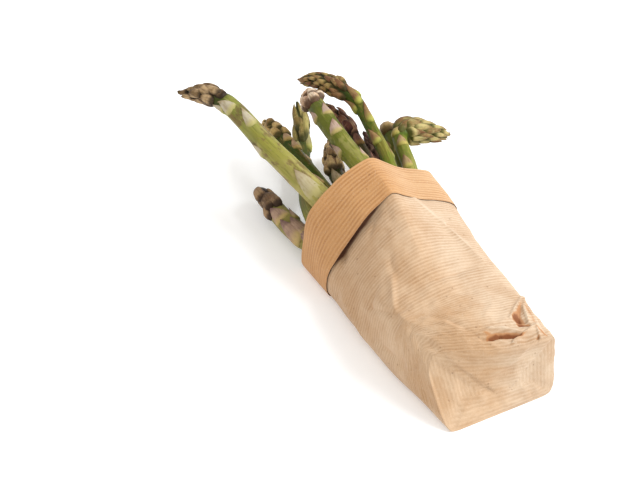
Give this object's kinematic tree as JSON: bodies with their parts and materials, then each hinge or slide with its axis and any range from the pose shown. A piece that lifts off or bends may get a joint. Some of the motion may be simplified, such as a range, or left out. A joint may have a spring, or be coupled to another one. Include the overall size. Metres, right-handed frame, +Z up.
{
  "type": "bundle of asparagus",
  "caption": "Bundle of green asparagus lying in a ribbed brown paper bag, its mouth folded out as a cuff and the scaly heads fanning out.",
  "frame": {"origin": "middle of the bag's flat underside, at table level", "axes": "+X along the bag from its closed end to the tips, +Z up, +Y towards the side where the palest spear leans out"},
  "size_m": [0.3096, 0.1642, 0.0744],
  "materials": {
    "kraft_paper": "uncoated ribbed brown kraft paper",
    "pale_spear": "waxy pale yellow-green skin with pinkish brown scales",
    "green_spear": "waxy green skin with brown-edged scales",
    "purple_spear": "waxy skin with dark purple-brown scales"
  },
  "bodies": {
    "root": {"paper_bag": "kraft_paper", "spear_01": "pale_spear", "spear_02": "green_spear", "spear_03": "green_spear", "spear_04": "green_spear", "spear_05": "purple_spear", "spear_06": "green_spear", "spear_07": "purple_spear", "spear_08": "green_spear", "spear_09": "green_spear", "spear_10": "green_spear", "spear_11": "pale_spear", "spear_12": "green_spear"}
  },
  "joints": []
}
